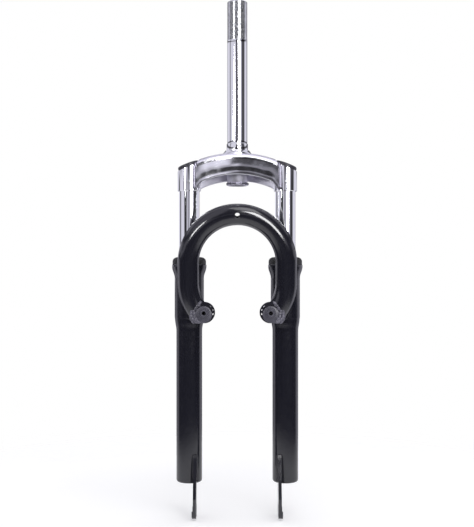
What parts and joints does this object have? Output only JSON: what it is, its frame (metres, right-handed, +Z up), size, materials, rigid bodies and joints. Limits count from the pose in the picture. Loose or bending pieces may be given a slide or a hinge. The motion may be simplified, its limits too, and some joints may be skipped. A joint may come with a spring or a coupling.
{
  "type": "bicycle fork",
  "caption": "Telescopic bicycle fork with a threaded steerer, chromed crown and stanchions, black lower legs, an arch tube, brake bosses and slotted dropouts.",
  "frame": {"origin": "centre of the shoulder under the crown race, on the steerer's axis", "axes": "+Z up along the steerer, -Y to the front of the bicycle, +X to the rider's left"},
  "size_m": [0.163, 0.092, 0.6417],
  "materials": {
    "chrome": "polished, with fine dark reflections",
    "steel": "plain zinc-plated steel",
    "black_paint": "gloss black enamel",
    "boss_paint": "thin black enamel over weld",
    "cap_plastic": "charcoal moulded plastic",
    "rubber": "soft black rubber",
    "bush_polymer": "off-white bearing polymer"
  },
  "bodies": {
    "upper": {"steerer_tube": "chrome", "crown_shell": "chrome", "sleeve_left": "chrome", "sleeve_right": "chrome", "sleeve_cap_left": "cap_plastic", "sleeve_cap_right": "cap_plastic", "lock_pin_left": "steel", "lock_pin_right": "steel", "stanchion_left": "chrome", "stanchion_right": "chrome", "lower_bush_left": "bush_polymer", "lower_bush_right": "bush_polymer", "guide_left": "bush_polymer", "guide_right": "bush_polymer", "top_bumper_left": "rubber", "top_bumper_right": "rubber", "spacer_left": "bush_polymer", "spacer_right": "bush_polymer", "spring_left": "steel", "spring_right": "steel"},
    "lower": {"lower_leg_left": "black_paint", "lower_leg_right": "black_paint", "arch_tube": "black_paint", "brake_boss_left": "boss_paint", "brake_boss_right": "boss_paint", "brake_stud_left": "steel", "brake_stud_right": "steel", "dropout_left": "black_paint", "dropout_right": "black_paint", "dust_seal_left": "rubber", "dust_seal_right": "rubber", "upper_bush_left": "bush_polymer", "upper_bush_right": "bush_polymer", "damper_rod_left": "steel", "damper_rod_right": "steel", "bottom_bumper_left": "rubber", "bottom_bumper_right": "rubber", "bottom_bolt_left": "steel", "bottom_bolt_right": "steel", "bolt_washer_left": "steel", "bolt_washer_right": "steel"}
  },
  "joints": [
    {"name": "fork_travel", "type": "slide", "parent": "upper", "child": "lower", "axis": [0, 0, 1], "range_m": [0, 0.05], "stiffness_N_per_m": 8000, "springref_m": -0.01, "deforming": ["spring_left", "spring_right"]}
  ]
}
